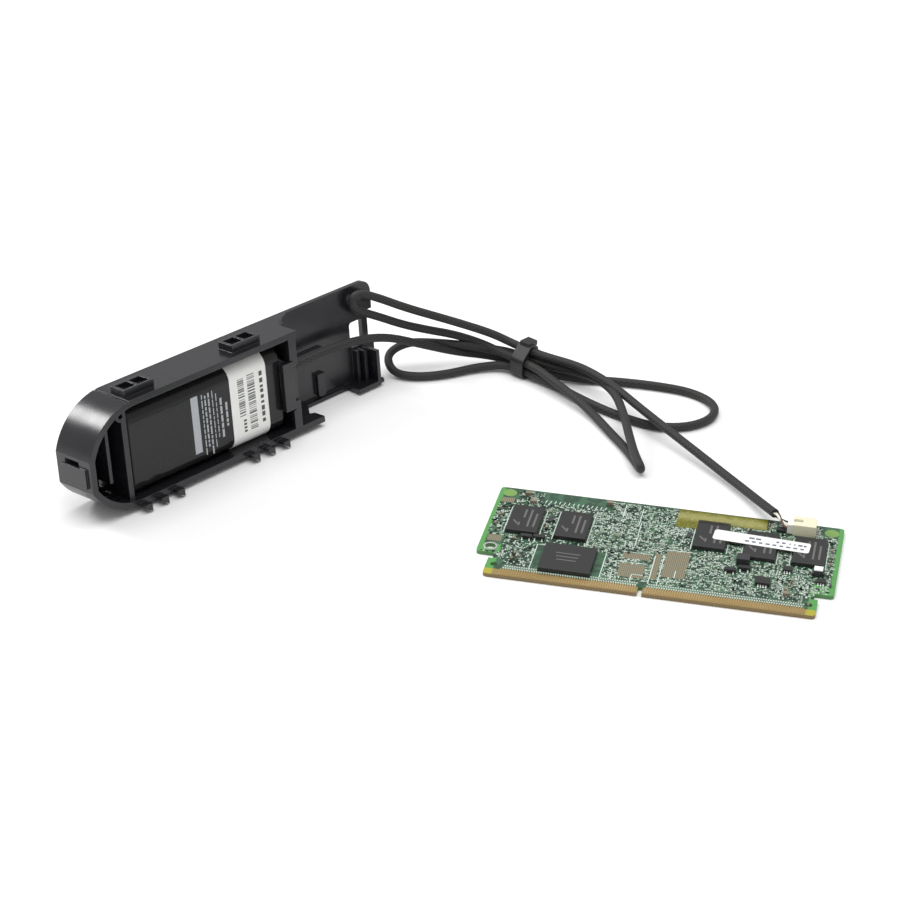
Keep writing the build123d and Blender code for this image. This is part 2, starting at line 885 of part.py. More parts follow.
# Plug in the connector
with BuildPart() as lead_plug:
    with BuildSketch(header_mouth):
        with Locations((0, header_height / 2)):
            Rectangle(bore_width - 2 * plug_gap, bore_height - 2 * plug_gap)
    extrude(amount=header_bore - plug_gap)
    with BuildSketch(header_mouth):
        with Locations((0, header_height / 2)):
            Rectangle(
                header_width - 2 * plug_flange_rim,
                header_height - 2 * plug_flange_rim,
            )
    extrude(amount=-plug_flange)
lead_plug.part.label = "lead_plug"
export_step(lead_plug.part, "parts/lead_plug.step")

# Four wires between the sleeve's end and the plug
sleeve_end = route[-1]
sleeve_way = (route[-1] - route[-2]).normalized()
plug_face = header_mouth.offset(-plug_flange)
plug_way = Vector(*board_top.x_dir)
sleeve_frame = Plane(origin=sleeve_end, x_dir=plug_way, z_dir=sleeve_way)
with BuildPart() as lead_wires:
    for number in range(4):
        aside = (1.5 - number) * wire_spacing
        wire_start = sleeve_frame.from_local_coords((aside, 0, 0))
        across = (1.5 - number) * pin_pitch
        wire_end = plug_face.from_local_coords((across, header_height / 2, 0))
        with BuildLine() as wire_path:
            FilletPolyline(
                wire_start,
                wire_start + sleeve_way * 1.5,
                wire_end - plug_way * 1.3,
                wire_end,
                radius=0.8,
            )
        with BuildSketch(Plane(origin=wire_start, z_dir=sleeve_way)):
            RegularPolygon(wire_diameter / 2, wire_sides)
        sweep(path=wire_path.wires()[0])
lead_wires.part.label = "lead_wires"
export_step(lead_wires.part, "parts/lead_wires.step")


def board_parts(name, spots, size, corner=0.0):
    """One node of equal rectangular bodies standing on the board."""
    with BuildPart() as bodies:
        with BuildSketch(board_top):
            with Locations(*spots):
                if corner:
                    RectangleRounded(size[0], size[1], corner)
                else:
                    Rectangle(size[0], size[1])
        extrude(amount=size[2])
    bodies.part.label = name
    export_step(bodies.part, f"parts/{name}.step")


# Power parts and small chips at the right of the board
board_parts("power_inductor", [inductor_spot], inductor_size, inductor_corner)
board_parts("switch_transistors", switch_spots, switch_size)
board_parts("eight_pin_chip", [driver_spot], driver_size)
board_parts("gauge_chip", [gauge_spot], gauge_size)
board_parts("buffer_chip", [buffer_spot], buffer_size)
board_parts("guard_chip", [guard_spot], guard_size)


def bent_legs(name, rows):
    """One node of bent legs; a row is its chip's spot and size, legs, pitch and side."""
    with BuildPart() as legs:
        for spot, size, count, pitch, side in rows:
            for number in range(count):
                along = spot[0] + (number - (count - 1) / 2) * pitch
                across = spot[1] + side * size[1] / 2
                leg_plane = Plane(
                    origin=board_top.from_local_coords((along, across, 0)),
                    x_dir=board_top.y_dir * side,
                    z_dir=board_top.x_dir * side,
                )
                with BuildSketch(leg_plane):
                    with BuildLine():
                        Polyline(
                            (0, leg_rise),
                            (leg_knee, leg_rise),
                            (leg_knee + leg_thickness, leg_thickness),
                            (leg_reach, leg_thickness),
                            (leg_reach, 0),
                            (leg_knee, 0),
                            (leg_knee - leg_thickness, leg_rise - leg_thickness),
                            (0, leg_rise - leg_thickness),
                            close=True,
                        )
                    make_face()
                extrude(amount=leg_width / 2, both=True)
    legs.part.label = name
    export_step(legs.part, f"parts/{name}.step")


# Legs of the transistors and small chips
switch_rows = []
for spot in switch_spots:
    switch_rows.append((spot, switch_size, 2, switch_pitch, -1))
    switch_rows.append((spot, switch_size, 1, switch_pitch, 1))
bent_legs("switch_legs", switch_rows)
chip_rows = []
for spot, size, count in (
    (driver_spot, driver_size, 4),
    (gauge_spot, gauge_size, 3),
    (buffer_spot, buffer_size, 3),
):
    chip_rows.append((spot, size, count, leg_pitch, -1))
    chip_rows.append((spot, size, count, leg_pitch, 1))
bent_legs("chip_legs", chip_rows)

# Status lamp with its lens
with BuildPart() as status_lamp:
    with BuildSketch(board_top):
        with Locations(lamp_spot):
            Rectangle(lamp_size[0], lamp_size[1])
    extrude(amount=lamp_size[2])
    with BuildSketch(board_top.offset(lamp_size[2])):
        with Locations(lamp_spot):
            Rectangle(lamp_lens[0], lamp_lens[1])
    extrude(amount=lamp_lens[2])
status_lamp.part.label = "status_lamp"
export_step(status_lamp.part, "parts/status_lamp.step")

# Plated ring round the hole in the left ear
with BuildPart() as hole_ring:
    with BuildSketch(board_top):
        with Locations(ring_spot):
            Circle(ring_diameter / 2)
            Circle(ring_hole / 2, mode=Mode.SUBTRACT)
    extrude(amount=foil)
hole_ring.part.label = "hole_ring"
export_step(hole_ring.part, "parts/hole_ring.step")

# Small parts
capacitor_spots = [
    (4.4, 18.3),
    (6.0, 11.2),
    (5.7, 8.4),
    (7.4, 9.8),
    (-1.6, 24.7),
    (-1.4, 29.2),
    (-1.9, 32.6),
    (11.5, 25.7),
    (11.2, 33.6),
    (29.5, 25.8),
    (73.8, 10.5),
    (74.5, 12.5),
    (75.1, 15.0),
    (79.9, 4.6),
    (83.7, 24.8),
    (83.6, 28.2),
    (83.5, 31.6),
]
resistor_spots = [
    (44.7, 28.2),
    (29.3, 15.8),
    (29.3, 12.6),
    (78.9, 19.6),
    (71.9, 25.6),
    (71.9, 28.8),
    (71.9, 32.0),
    (84.4, 14.6),
]
for step in range(5):
    resistor_spots.append((24.9 + 2.2 * step, 18.6))
array_spots = [(47.3, 30.6), (11.7, 29.6)]
board_parts("chip_capacitors", capacitor_spots, capacitor_size)
board_parts("chip_resistors", resistor_spots, resistor_size)
board_parts("resistor_packs", array_spots, array_size)
reservoir_spots = [(3.9, 41.2), (5.9, 37.4), (25.3, 41.4), (74.2, 7.9)]
board_parts("reservoir_capacitors", reservoir_spots, reservoir_size)
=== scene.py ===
import math
import random

import bpy
from mathutils import Matrix, Vector


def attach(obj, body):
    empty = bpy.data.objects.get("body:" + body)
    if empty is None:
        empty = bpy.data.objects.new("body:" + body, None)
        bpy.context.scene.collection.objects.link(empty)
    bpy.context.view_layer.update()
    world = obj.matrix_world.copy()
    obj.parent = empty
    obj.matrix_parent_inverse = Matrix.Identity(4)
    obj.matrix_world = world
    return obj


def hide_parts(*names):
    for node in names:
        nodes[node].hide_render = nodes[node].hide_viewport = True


# Cache memory module on a pale table: a looped sleeved lead joins its battery pack.
# Sizes below are in millimetres, and MM turns them into metres.
MM = 0.001

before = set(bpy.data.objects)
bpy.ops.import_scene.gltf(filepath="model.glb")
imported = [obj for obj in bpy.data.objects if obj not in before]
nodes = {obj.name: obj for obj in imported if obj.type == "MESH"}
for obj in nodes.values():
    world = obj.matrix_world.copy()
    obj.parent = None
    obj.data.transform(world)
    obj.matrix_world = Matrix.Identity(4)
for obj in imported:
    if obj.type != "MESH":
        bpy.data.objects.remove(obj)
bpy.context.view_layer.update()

# Where the board lies, and the heights of what it carries
BOARD_CORNER = (-13.91, -15.12)
BOARD_TURN = math.radians(-59.22)
BOARD_TOP = 1.05
BOARD_LEFT, BOARD_RIGHT = -3.7, 85.7
KEY_MIDDLE = 39.1
MEMORY_CHIP_TOP = 2.2
BRIDGE_CHIP_TOP = 2.25
CHIP_LABEL_TOP = 2.3

# How the holder stands, and how far the pack and its label come out
HOLDER_CORNER = (-67.51, 82.08)
HOLDER_LEAN = math.atan2(1.46, 13.6)
PACK_FRONT = 11.5
BATTERY_LABEL_FRONT = 11.62

LEAD_DIAMETER = 2.4
WIRE_DIAMETER = 0.6

# Thickness of printed ink and of thicker print
INK = 0.012
PRINT = 0.02


def on_board(u, v, z=BOARD_TOP):
    """Point at lengths u along and v up the board."""
    along, across = math.cos(BOARD_TURN), math.sin(BOARD_TURN)
    x = BOARD_CORNER[0] + u * along - v * across
    y = BOARD_CORNER[1] + u * across + v * along
    return Vector((x, y, z)) * MM


def on_holder(a, h, d):
    """Point at length a and height h on the holder, d out from its back."""
    rise, run = math.cos(HOLDER_LEAN), math.sin(HOLDER_LEAN)
    x = HOLDER_CORNER[0] + a
    y = HOLDER_CORNER[1] - d * rise + h * run
    return Vector((x, y, d * run + h * rise)) * MM


# Camera: its ways to the right, up and back, and its place
camera_data = bpy.data.cameras.new("camera")
camera_data.lens = 100
camera_data.sensor_width = 36
camera = bpy.data.objects.new("camera", camera_data)
camera_right = (0.68389, -0.72930, 0.02025, 0)
camera_up = (0.33585, 0.33933, 0.87867, 0)
camera_back = (-0.6477, -0.5941, 0.4770, 0)
camera_place = (-0.40878, -0.36564, 0.32178, 1)
columns = (camera_right, camera_up, camera_back, camera_place)
camera.matrix_world = Matrix(columns).transposed()
bpy.context.scene.collection.objects.link(camera)
bpy.context.scene.camera = camera
bpy.context.scene.view_settings.view_transform = "Standard"


# Effects that several materials share
def new_group(name, inputs, outputs):
    """Empty shader node group; returns it with its input and output nodes."""
    group = bpy.data.node_groups.new(name, "ShaderNodeTree")
    for title, kind, value in inputs:
        made = group.interface.new_socket(title, in_out="INPUT", socket_type=kind)
        if value is not None:
            made.default_value = value
    for title, kind in outputs:
        group.interface.new_socket(title, in_out="OUTPUT", socket_type=kind)
    return group, group.nodes.new("NodeGroupInput"), group.nodes.new("NodeGroupOutput")


def surface_group():
    """Fine grain and softened edges: a normal, and a mask of the edges."""
    group, ins, outs = new_group(
        "surface",
        (
            ("grain_scale", "NodeSocketFloat", 2000.0),
            ("grain_depth", "NodeSocketFloat", 0.00002),
            ("edge_radius", "NodeSocketFloat", 0.0002),
        ),
        (("normal", "NodeSocketVector"), ("edge", "NodeSocketFloat")),
    )
    new, link = group.nodes.new, group.links.new
    place = new("ShaderNodeTexCoord")
    noise = new("ShaderNodeTexNoise")
    noise.inputs["Detail"].default_value = 4
    link(place.outputs["Object"], noise.inputs["Vector"])
    link(ins.outputs["grain_scale"], noise.inputs["Scale"])
    bevel = new("ShaderNodeBevel")
    bevel.samples = 6
    link(ins.outputs["edge_radius"], bevel.inputs["Radius"])
    bump = new("ShaderNodeBump")
    link(noise.outputs["Fac"], bump.inputs["Height"])
    link(ins.outputs["grain_depth"], bump.inputs["Distance"])
    link(bevel.outputs["Normal"], bump.inputs["Normal"])
    # At an edge the softened normal turns away from the flat one
    flat = new("ShaderNodeNewGeometry")
    turned = new("ShaderNodeVectorMath")
    turned.operation = "DOT_PRODUCT"
    link(bevel.outputs["Normal"], turned.inputs[0])
    link(flat.outputs["Normal"], turned.inputs[1])
    worn = new("ShaderNodeMapRange")
    worn.inputs["From Min"].default_value = 0.99
    worn.inputs["From Max"].default_value = 0.8
    link(turned.outputs["Value"], worn.inputs["Value"])
    link(bump.outputs["Normal"], outs.inputs["normal"])
    link(worn.outputs["Result"], outs.inputs["edge"])
    return group


def braid_group():
    """Two crossing sets of strands along a tube: their height and their shade."""
    group, ins, outs = new_group(
        "braid",
        (
            ("along", "NodeSocketFloat", 500.0),
            ("around", "NodeSocketFloat", 8.0),
        ),
        (("height", "NodeSocketFloat"), ("gap", "NodeSocketFloat")),
    )
    new, link = group.nodes.new, group.links.new
    place = new("ShaderNodeTexCoord")
    parts = new("ShaderNodeSeparateXYZ")
    link(place.outputs["UV"], parts.inputs["Vector"])
    steps = []
    for axis, count in (("X", "along"), ("Y", "around")):
        step = new("ShaderNodeMath")
        step.operation = "MULTIPLY"
        link(parts.outputs[axis], step.inputs[0])
        link(ins.outputs[count], step.inputs[1])
        steps.append(step)
    strands = []
    for way in ("ADD", "SUBTRACT"):
        slant = new("ShaderNodeMath")
        slant.operation = way
        link(steps[0].outputs[0], slant.inputs[0])
        link(steps[1].outputs[0], slant.inputs[1])
        wave = new("ShaderNodeMath")
        wave.operation = "PINGPONG"
        wave.inputs[1].default_value = 0.5
        link(slant.outputs[0], wave.inputs[0])
        strands.append(wave)
    over = new("ShaderNodeMath")
    over.operation = "MAXIMUM"
    under = new("ShaderNodeMath")
    under.operation = "MINIMUM"
    for socket, wave in enumerate(strands):
        link(wave.outputs[0], over.inputs[socket])
        link(wave.outputs[0], under.inputs[socket])
    hollow = new("ShaderNodeMapRange")
    hollow.inputs["From Min"].default_value = 0.5
    hollow.inputs["From Max"].default_value = 0.25
    link(over.outputs[0], hollow.inputs["Value"])
    link(over.outputs[0], outs.inputs["height"])
    link(hollow.outputs["Result"], outs.inputs["gap"])
    return group


SURFACE = surface_group()
BRAID = braid_group()


class Finish:
    """One material: a Principled shader with the shared surface effect.

    Its grain is (scale, depth). Depth and edge are in millimetres.
    """

    def __init__(self, name, color, roughness, grain, edge, **values):
        self.base = color
        self.material = bpy.data.materials.new(name)
        self.material.use_nodes = True
        self.tree = self.material.node_tree
        self.shader = self.tree.nodes["Principled BSDF"]
        self.set(Base_Color=(*color, 1), Roughness=roughness, **values)
        self.surface = self.new("ShaderNodeGroup")
        self.surface.node_tree = SURFACE
        self.surface.inputs["grain_scale"].default_value = grain[0]
        self.surface.inputs["grain_depth"].default_value = grain[1] * MM
        self.surface.inputs["edge_radius"].default_value = edge * MM
        self.link(self.surface.outputs["normal"], self.shader.inputs["Normal"])
        self.material.diffuse_color = (*color, 1)

    def set(self, **values):
        """Shader inputs by name, with a low line for each blank."""
        for key, value in values.items():
            self.shader.inputs[key.replace("_", " ")].default_value = value

    def new(self, kind):
        return self.tree.nodes.new(kind)

    def link(self, start, end):
        self.tree.links.new(start, end)

    def mix(self, mask, under, over, strength=1.0):
        """Colour that turns from under to over where the mask is 1."""
        blend = self.new("ShaderNodeMix")
        blend.data_type = "RGBA"
        for socket, color in ((blend.inputs[6], under), (blend.inputs[7], over)):
            if isinstance(color, tuple):
                socket.default_value = (*color, 1)
            else:
                self.link(color, socket)
        if strength < 1:
            weaker = self.new("ShaderNodeMath")
            weaker.operation = "MULTIPLY"
            weaker.inputs[1].default_value = strength
            self.link(mask, weaker.inputs[0])
            mask = weaker.outputs[0]
        self.link(mask, blend.inputs[0])
        return blend.outputs[2]

    def color(self, socket):
        self.link(socket, self.shader.inputs["Base Color"])

    def worn(self, edge_color, strength):
        """Base colour with paler edges."""
        edges = self.surface.outputs["edge"]
        self.color(self.mix(edges, self.base, edge_color, strength))

    def noise(self, scale, detail=3.0):
        made = self.new("ShaderNodeTexNoise")
        made.inputs["Scale"].default_value = scale
        made.inputs["Detail"].default_value = detail
        self.link(self.place(), made.inputs["Vector"])
        return made.outputs["Fac"]

    def place(self):
        return self.new("ShaderNodeTexCoord").outputs["Object"]

    def steps(self, value, low, high):
        """Value stretched so that low becomes 0 and high becomes 1."""
        made = self.new("ShaderNodeMapRange")
        made.inputs["From Min"].default_value = low
        made.inputs["From Max"].default_value = high
        self.link(value, made.inputs["Value"])
        return made.outputs["Result"]


def board_axes(finish):
    """Lengths u and v on the board and height, in millimetres, as X, Y and Z."""
    turn = finish.new("ShaderNodeMapping")
    turn.vector_type = "TEXTURE"
    turn.inputs["Location"].default_value = on_board(0, 0, 0)
    turn.inputs["Rotation"].default_value = (0, 0, BOARD_TURN)
    turn.inputs["Scale"].default_value = (MM, MM, MM)
    finish.link(finish.place(), turn.inputs["Vector"])
    split = finish.new("ShaderNodeSeparateXYZ")
    finish.link(turn.outputs["Vector"], split.inputs["Vector"])
    return split.outputs


def calc(finish, operation, first, second=None):
    """One sum on two sockets or numbers."""
    made = finish.new("ShaderNodeMath")
    made.operation = operation
    for socket, value in zip(made.inputs, (first, second)):
        if value is None:
            continue
        if isinstance(value, (int, float)):
            socket.default_value = value
        else:
            finish.link(value, socket)
    return made.outputs[0]


# Grain of smooth plastic and of print
SMOOTH = (2500, 0.003)
PRINTED = (5000, 0.003)

# Black moulding of the holder, with patches of haze
moulding = Finish("black_moulding", (0.011, 0.011, 0.014), 0.34, (1400, 0.006), 0.25)
moulding.worn((0.06, 0.06, 0.068), 0.6)
moulding.set(Specular_IOR_Level=0.55)
haze = moulding.steps(moulding.noise(60), 0.3, 0.7)
rough = moulding.new("ShaderNodeMapRange")
rough.inputs["To Min"].default_value = 0.2
rough.inputs["To Max"].default_value = 0.34
moulding.link(haze, rough.inputs["Value"])
moulding.link(rough.outputs["Result"], moulding.shader.inputs["Roughness"])

# Shrink film over the cells
film = Finish("shrink_film", (0.012, 0.012, 0.013), 0.2, (500, 0.05), 0.5)
film.set(Specular_IOR_Level=0.3, Coat_Weight=0.06, Coat_Roughness=0.12)

# Label stock
paper = Finish("label_paper", (0.86, 0.86, 0.83), 0.42, (1500, 0.004), 0.1)
paper.color(paper.mix(paper.noise(150), (0.9, 0.9, 0.88), (0.8, 0.81, 0.77)))

# Black nylon of the tie and the boot
nylon = Finish("black_nylon", (0.01, 0.01, 0.011), 0.42, (1800, 0.01), 0.3)
nylon.worn((0.07, 0.07, 0.072), 0.5)

# Plug and header
white_nylon = Finish("white_nylon", (0.84, 0.83, 0.77), 0.4, (2500, 0.004), 0.15)
white_nylon.worn((0.92, 0.91, 0.87), 0.6)
cream_nylon = Finish("cream_nylon", (0.8, 0.76, 0.56), 0.4, (2500, 0.004), 0.2)
cream_nylon.worn((0.9, 0.87, 0.74), 0.6)

# Metals
tin = Finish("tinned_metal", (0.8, 0.8, 0.78), 0.28, (3000, 0.006), 0.06, Metallic=1.0)
gold = Finish(
    "gold_contacts", (0.72, 0.5, 0.2), 0.36, (4000, 0.003), 0.03, Metallic=0.85
)
gold_tone = gold.steps(gold.noise(90), 0.3, 0.7)
gold.color(gold.mix(gold_tone, (0.5, 0.34, 0.13), (0.66, 0.47, 0.22)))

# Chips and small parts; the lamp's lens is pale above its dark foot
chip = Finish("chip_black", (0.018, 0.018, 0.019), 0.5, (6000, 0.006), 0.08)
chip.worn((0.11, 0.11, 0.115), 0.6)
ferrite = Finish("ferrite", (0.03, 0.03, 0.034), 0.55, (5000, 0.02), 0.15)
ferrite.worn((0.14, 0.14, 0.15), 0.5)
ceramic = Finish("fired_ceramic", (0.33, 0.24, 0.16), 0.5, (5000, 0.01), 0.08)
ceramic.color(ceramic.mix(ceramic.noise(90), (0.15, 0.12, 0.08), (0.33, 0.29, 0.21)))
resistor = Finish("resistor_coat", (0.04, 0.04, 0.042), 0.45, (5000, 0.01), 0.06)
resistor.worn((0.3, 0.3, 0.3), 0.7)
lamp = Finish("lamp_body", (0.85, 0.87, 0.86), 0.3, SMOOTH, 0.12)
lamp_mask = lamp.steps(board_axes(lamp)["Z"], 2.5, 2.6)
lamp.color(lamp.mix(lamp_mask, (0.03, 0.03, 0.032), (0.9, 0.92, 0.92)))

# Solder mask over copper: paler margins, a bare strip along the foot, cut sides
board = Finish("board_laminate", (0.05, 0.2, 0.1), 0.36, (900, 0.004), 0.03)
board_uvz = board_axes(board)
u_axis, v_axis = board_uvz["X"], board_uvz["Y"]
from_left = calc(board, "SUBTRACT", u_axis, BOARD_LEFT)
from_right = calc(board, "SUBTRACT", BOARD_RIGHT, u_axis)
from_side = calc(board, "MINIMUM", from_left, from_right)
wobble = calc(board, "MULTIPLY", board.noise(900), 0.5)
margin = board.steps(calc(board, "ADD", from_side, wobble), 1.7, 1.3)
corner = board.steps(calc(board, "ADD", from_side, wobble), 6.3, 5.9)
low_corner = calc(board, "MULTIPLY", corner, board.steps(v_axis, 14.8, 14.4))
margin = calc(board, "MAXIMUM", margin, low_corner)
copper = board.steps(board.noise(420, 2.0), 0.46, 0.54)
ground = board.mix(copper, (0.024, 0.065, 0.036), (0.045, 0.125, 0.066))
tone = board.mix(margin, ground, (0.085, 0.31, 0.075))
bare = board.steps(calc(board, "ADD", v_axis, wobble), 3.0, 2.8)
from_middle = calc(board, "ABSOLUTE", calc(board, "SUBTRACT", u_axis, 40.9))
foot = board.mix(
    board.steps(from_middle, 38.4, 39.0), (0.28, 0.2, 0.07), (0.4, 0.36, 0.03)
)
tone = board.mix(bare, tone, foot)
facing = board.new("ShaderNodeNewGeometry")
facing_split = board.new("ShaderNodeSeparateXYZ")
board.link(facing.outputs["True Normal"], facing_split.inputs["Vector"])
side = board.steps(calc(board, "ABSOLUTE", facing_split.outputs["Z"]), 0.6, 0.4)
edge_tone = board.mix(bare, (0.07, 0.2, 0.06), (0.2, 0.135, 0.05))
tone = board.mix(side, tone, edge_tone)
board.color(tone)

# Film of the insulating tape: it tints what lies under it, and is thinner over
# the chips and at its right end. A pale band along its middle is a painted highlight
tape = Finish("tape_film", (0.72, 0.66, 0.1), 0.22, (700, 0.03), 0.05)
tape.set(Coat_Weight=0.5, Coat_Roughness=0.15)
tape_uvz = board_axes(tape)
over_chips = tape.steps(tape_uvz["Z"], 1.8, 2.1)
clear_end = tape.steps(tape_uvz["X"], 66.0, 66.3)
thin = calc(tape, "MAXIMUM", over_chips, clear_end)
cover = calc(tape, "SUBTRACT", 0.62, calc(tape, "MULTIPLY", thin, 0.5))
# Painted highlight: a pale band along the tape's middle, broken up by noise, lightens
# the tape's colour
from_line = calc(tape, "ABSOLUTE", calc(tape, "SUBTRACT", tape_uvz["Y"], 40.3))
cloud = calc(tape, "MULTIPLY", tape.noise(420), 2.6)
painted_highlight_mask = tape.steps(calc(tape, "SUBTRACT", from_line, cloud), 1.3, -0.5)
painted_highlight_tone = tape.mix(painted_highlight_mask, (0.21, 0.2, 0.012), (0.46, 0.44, 0.15))
tape.color(tape.mix(thin, painted_highlight_tone, (0.3, 0.28, 0.24)))
tinted = tape.new("ShaderNodeBsdfTransparent")
tint = tape.mix(thin, (0.95, 0.88, 0.25), (0.9, 0.88, 0.82))
tape.link(tint, tinted.inputs["Color"])
layered = tape.new("ShaderNodeMixShader")
tape.link(cover, layered.inputs["Fac"])
tape.link(tinted.outputs[0], layered.inputs[1])
tape.link(tape.shader.outputs[0], layered.inputs[2])
tape.link(layered.outputs[0], tape.tree.nodes["Material Output"].inputs["Surface"])

# Braided sleeve of the lead
sleeve = Finish("braided_sleeve", (0.03, 0.03, 0.027), 0.62, (4000, 0.02), 0.01)
weave = sleeve.new("ShaderNodeGroup")
weave.node_tree = BRAID
weave.inputs["along"].default_value = 480
weave.inputs["around"].default_value = 8
sleeve.color(
    sleeve.mix(weave.outputs["gap"], (0.03, 0.03, 0.028), (0.006, 0.006, 0.006))
)
sleeve_bump = sleeve.new("ShaderNodeBump")
sleeve_bump.inputs["Distance"].default_value = 0.12 * MM
sleeve.link(weave.outputs["height"], sleeve_bump.inputs["Height"])
sleeve.link(sleeve.surface.outputs["normal"], sleeve_bump.inputs["Normal"])
sleeve.link(sleeve_bump.outputs["Normal"], sleeve.shader.inputs["Normal"])
sleeve.set(Sheen_Weight=0.03, Sheen_Roughness=0.4)

# Wires, print and pads
wire_white = Finish("wire_white", (0.82, 0.8, 0.72), 0.4, SMOOTH, 0.02)
wire_brown = Finish("wire_brown", (0.1, 0.042, 0.02), 0.4, SMOOTH, 0.02)
wire_black = Finish("wire_black", (0.015, 0.015, 0.015), 0.4, SMOOTH, 0.02)
silk = Finish("white_print", (0.62, 0.72, 0.66), 0.6, PRINTED, 0.01)
pads = Finish(
    "soldered_pads", (0.55, 0.62, 0.57), 0.45, (5000, 0.006), 0.01, Metallic=0.2
)
pads.color(pads.mix(pads.noise(500), (0.36, 0.44, 0.37), (0.68, 0.75, 0.66)))
mid_pads = Finish("masked_pads", (0.13, 0.22, 0.16), 0.42, (5000, 0.004), 0.01)
mid_pads.color(
    mid_pads.mix(mid_pads.noise(700), (0.12, 0.2, 0.135), (0.32, 0.39, 0.3))
)
dark_gaps = Finish("dark_gaps", (0.012, 0.03, 0.02), 0.5, PRINTED, 0.01)
tan_field = Finish("bare_copper_field", (0.2, 0.16, 0.09), 0.5, (3000, 0.004), 0.01)
field_stripes = calc(tan_field, "MULTIPLY", board_axes(tan_field)["X"], 2.1)
field_wave = calc(tan_field, "PINGPONG", field_stripes, 0.5)
field_mask = tan_field.steps(field_wave, 0.2, 0.3)
tan_field.color(tan_field.mix(field_mask, (0.13, 0.14, 0.09), (0.27, 0.22, 0.14)))
mark_green = Finish("pale_green_mark", (0.18, 0.33, 0.08), 0.45, SMOOTH, 0.02)
chip_print = Finish("chip_print", (0.12, 0.12, 0.12), 0.6, PRINTED, 0.01)
label_ink = Finish("label_ink", (0.07, 0.075, 0.08), 0.5, PRINTED, 0.01)
pale_ink = Finish("pale_ink", (0.42, 0.44, 0.47), 0.45, PRINTED, 0.01)
blue_ink = Finish("blue_grey_ink", (0.13, 0.14, 0.2), 0.45, PRINTED, 0.01)

FINISHES = {
    "battery_holder": moulding,
    "battery_pack": film,
    "battery_label": paper,
    "chip_label": paper,
    "pack_lead_boot": nylon,
    "lead_tie": nylon,
    "lead_plug": white_nylon,
    "board_header": cream_nylon,
    "header_pins": tin,
    "switch_legs": tin,
    "chip_legs": tin,
    "hole_ring": tin,
    "circuit_board": board,
    "edge_contacts": gold,
    "insulating_tape": tape,
    "power_inductor": ferrite,
    "status_lamp": lamp,
    "chip_capacitors": ceramic,
    "reservoir_capacitors": ceramic,
    "chip_resistors": resistor,
    "resistor_packs": resistor,
    "lead_sleeve": sleeve,
    "lead_wires": wire_white,
}
for name, node in nodes.items():
    finish = FINISHES.get(name, chip)
    for node_slot in node.material_slots:
        node_slot.material = finish.material

# Sloped corners of the header
slope = nodes["board_header"].modifiers.new("sloped_corners", "BEVEL")
slope.width = 0.45 * MM
slope.segments = 1
slope.limit_method = "ANGLE"
slope.angle_limit = math.radians(60)

# Outlines of a plate that is one wide and one high
SQUARE = ((-0.5, -0.5), (0.5, -0.5), (0.5, 0.5), (-0.5, 0.5))
ROUND_SIDES = 20
ROUND = []
for side in range(ROUND_SIDES):
    angle = 2 * math.pi * side / ROUND_SIDES
    ROUND.append((0.5 * math.cos(angle), 0.5 * math.sin(angle)))


def plates(name, spots, place, thickness, finish, outline=SQUARE):
    """One mesh of plates, each (middle, middle, width, height, turn in degrees)."""
    corners, faces = [], []
    count = len(outline)
    for u, v, width, height, turn in spots:
        along = math.cos(math.radians(turn))
        across = math.sin(math.radians(turn))
        first = len(corners)
        for level in (0, thickness):
            for du, dv in outline:
                x, y = du * width, dv * height
                corners.append(
                    place(u + x * along - y * across, v + x * across + y * along, level)
                )
        faces.append([first + count - 1 - side for side in range(count)])
        faces.append([first + count + side for side in range(count)])
        for side in range(count):
            after = (side + 1) % count
            faces.append(
                (
                    first + side,
                    first + after,
                    first + count + after,
                    first + count + side,
                )
            )
    mesh = bpy.data.meshes.new(name)
    mesh.from_pydata(corners, [], faces)
    mesh.materials.append(finish.material)
    piece = bpy.data.objects.new(name, mesh)
    bpy.context.scene.collection.objects.link(piece)
    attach(piece, "root")


def curve(name, points, diameter, finish):
    """Round NURBS run along control points, which are in metres."""
    data = bpy.data.curves.new(name, "CURVE")
    data.dimensions = "3D"
    data.bevel_depth = diameter * MM / 2
    data.bevel_resolution = 4
    data.resolution_u = 10
    data.use_fill_caps = True
    spline = data.splines.new("NURBS")
    spline.points.add(len(points) - 1)
    for made, wanted in zip(spline.points, points):
        made.co = (*wanted, 1)
    spline.order_u = 3
    spline.use_endpoint_u = True
    data.materials.append(finish.material)
    piece = bpy.data.objects.new(name, data)
    bpy.context.scene.collection.objects.link(piece)
    return piece


